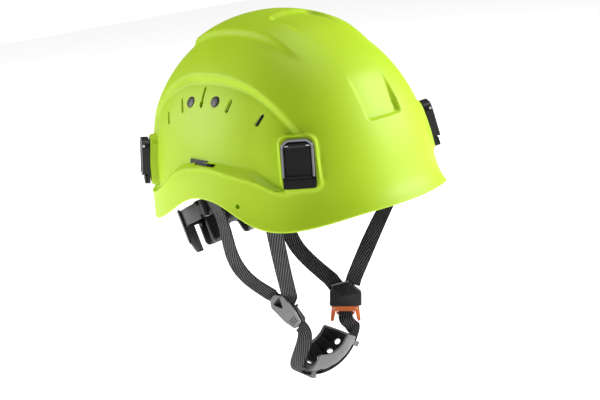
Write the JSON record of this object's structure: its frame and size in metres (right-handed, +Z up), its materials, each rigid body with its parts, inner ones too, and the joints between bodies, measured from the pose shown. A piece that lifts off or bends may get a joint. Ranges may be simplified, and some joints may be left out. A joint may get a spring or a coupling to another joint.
{
  "type": "climbing helmet",
  "caption": "Hard-shell climbing helmet with a low brim, side vents, flap clips for a headlamp, a webbing cradle, a nape ratchet and a chin strap with a padded cup.",
  "frame": {"origin": "middle of the head opening, 10 mm under the front brim, on the helmet's middle plane", "axes": "+Z up, front of the helmet at -Y, the wearer's left at +X"},
  "size_m": [0.2262, 0.2796, 0.3338],
  "materials": {
    "lime_shell": "semi-gloss moulded plastic",
    "black_plastic": "satin",
    "grey_plastic": "satin",
    "grey_rubber": "matt soft rubber",
    "orange_plastic": "satin",
    "black_webbing": "woven twill",
    "pad_fabric": "brushed foam lining",
    "pin_steel": "bright"
  },
  "bodies": {
    "helmet": {"shell": "lime_shell", "round_plugs_right": "black_plastic", "round_plugs_left": "black_plastic", "lamp_clip_base_front_right": "grey_plastic", "lamp_clip_base_front_left": "grey_plastic", "lamp_clip_base_rear_right": "grey_plastic", "lamp_clip_base_rear_left": "grey_plastic", "lamp_clip_pins": "pin_steel", "cradle_anchors": "black_plastic", "cradle_strap_front_right": "black_webbing", "cradle_strap_across": "black_webbing", "cradle_strap_front_left": "black_webbing", "crown_pad": "pad_fabric", "headband_front": "black_plastic", "sweatband": "pad_fabric", "headband_hangers": "black_webbing", "headband_bracket_right": "black_plastic", "headband_bracket_left": "black_plastic", "pivot_pegs": "black_plastic", "chin_strap_anchors": "black_plastic", "chin_strap_right_front": "black_webbing", "chin_strap_right_rear": "black_webbing", "chin_strap_left_front": "black_webbing", "chin_strap_left_rear": "black_webbing", "adjuster_back_plate": "black_plastic", "adjuster_front_plate": "grey_plastic", "adjuster_pin": "pin_steel", "buckle_cover_front": "black_plastic", "buckle_cover_back": "black_plastic", "buckle_socket": "black_plastic"},
    "nape": {"nape_lug_right": "black_plastic", "nape_lug_left": "black_plastic", "arm_pins": "pin_steel"},
    "arm_right": {"rack_arm_right": "black_plastic", "nape_wing_right": "grey_plastic"},
    "arm_left": {"rack_arm_left": "black_plastic", "nape_wing_left": "grey_plastic"},
    "nape_housing": {"nape_housing_front": "grey_plastic", "nape_housing_rear": "grey_plastic", "nape_pad": "pad_fabric", "housing_screws": "pin_steel", "ratchet_spring": "pin_steel"},
    "knob": {"ratchet_knob": "black_plastic", "ratchet_pinion": "black_plastic"},
    "adjuster_cam": {"adjuster_lever": "black_plastic"},
    "chin": {"buckle_tongue": "orange_plastic", "buckle_pins": "pin_steel", "chin_strap_lower": "black_webbing"},
    "cup": {"chin_cup": "grey_rubber", "chin_cup_liner": "pad_fabric"},
    "release_rear": {"buckle_lever_rear": "orange_plastic"},
    "release_front": {"buckle_lever_front": "orange_plastic"},
    "lamp_flap_front_right": {"lamp_clip_flap_front_right": "black_plastic"},
    "lamp_flap_front_left": {"lamp_clip_flap_front_left": "black_plastic"},
    "lamp_flap_rear_right": {"lamp_clip_flap_rear_right": "black_plastic"},
    "lamp_flap_rear_left": {"lamp_clip_flap_rear_left": "black_plastic"}
  },
  "joints": [
    {"name": "lamp_clip_front_right", "type": "hinge", "parent": "helmet", "child": "lamp_flap_front_right", "pos_m": [-0.0827, -0.09937, 0.06686], "axis": [-0.6336, 0.7737, 0], "range_deg": [0, 20], "stiffness_Nm_per_rad": 0.02},
    {"name": "lamp_clip_front_left", "type": "hinge", "parent": "helmet", "child": "lamp_flap_front_left", "pos_m": [0.0827, -0.09937, 0.06686], "axis": [-0.6336, -0.7737, 0], "range_deg": [0, 20], "stiffness_Nm_per_rad": 0.02},
    {"name": "lamp_clip_rear_right", "type": "hinge", "parent": "helmet", "child": "lamp_flap_rear_right", "pos_m": [-0.09086, 0.09262, 0.05332], "axis": [0.5675, 0.8234, 0], "range_deg": [0, 20], "stiffness_Nm_per_rad": 0.02},
    {"name": "lamp_clip_rear_left", "type": "hinge", "parent": "helmet", "child": "lamp_flap_rear_left", "pos_m": [0.09086, 0.09262, 0.05332], "axis": [0.5675, -0.8234, 0], "range_deg": [0, 20], "stiffness_Nm_per_rad": 0.02},
    {"name": "nape_tilt", "type": "hinge", "parent": "helmet", "child": "nape", "pos_m": [0, 0, 0.01], "axis": [1, 0, 0], "range_deg": [-12, 5]},
    {"name": "arm_right_swing", "type": "hinge", "parent": "nape", "child": "arm_right", "pos_m": [-0.0846, 0.02209, 0.00062], "axis": [0, 0.3907, 0.9205], "range_deg": [-2.5, 2.5]},
    {"name": "arm_left_swing", "type": "hinge", "parent": "nape", "child": "arm_left", "pos_m": [0.0846, 0.02209, 0.00062], "axis": [0, 0.3907, 0.9205], "range_deg": [-2.5, 2.5]},
    {"name": "housing_travel", "type": "slide", "parent": "nape", "child": "nape_housing", "axis": [0, -0.9205, 0.3907], "range_m": [-0.0037, 0.0037]},
    {"name": "size_knob", "type": "hinge", "parent": "nape_housing", "child": "knob", "pos_m": [0, 0.09573, -0.03064], "axis": [0, -0.9205, 0.3907], "range_deg": [-39.9, 39.9]},
    {"name": "strap_cam", "type": "hinge", "parent": "helmet", "child": "adjuster_cam", "pos_m": [-0.04024, -0.02912, -0.10167], "axis": [0.2119, -0.6352, 0.7427], "range_deg": [0, 40]},
    {"name": "chin_release", "type": "hinge", "parent": "helmet", "child": "chin", "pos_m": [-0.04434, -0.04265, -0.11207], "axis": [-0.3118, 0.9501, 0], "range_deg": [0, 25]},
    {"name": "cup_shift", "type": "hinge", "parent": "chin", "child": "cup", "pos_m": [-0.008, -0.022, -0.126], "axis": [0.2499, 0.9672, -0.0447], "range_deg": [-3, 3]},
    {"name": "release_rear_squeeze", "type": "hinge", "parent": "chin", "child": "release_rear", "pos_m": [0.0357, -0.0057, -0.12834], "axis": [-0.6915, -0.7072, 0.147], "range_deg": [0, 6], "stiffness_Nm_per_rad": 0.02},
    {"name": "release_front_squeeze", "type": "hinge", "parent": "chin", "child": "release_front", "pos_m": [0.05178, -0.02178, -0.13006], "axis": [0.6915, 0.7072, -0.147], "range_deg": [0, 6], "stiffness_Nm_per_rad": 0.02}
  ],
  "couplings": [
    {"joint": "arm_right_swing", "follows": "size_knob", "ratio": -0.0625},
    {"joint": "arm_left_swing", "follows": "size_knob", "ratio": 0.0625},
    {"joint": "housing_travel", "follows": "size_knob", "m_per_rad": 0.0053}
  ]
}
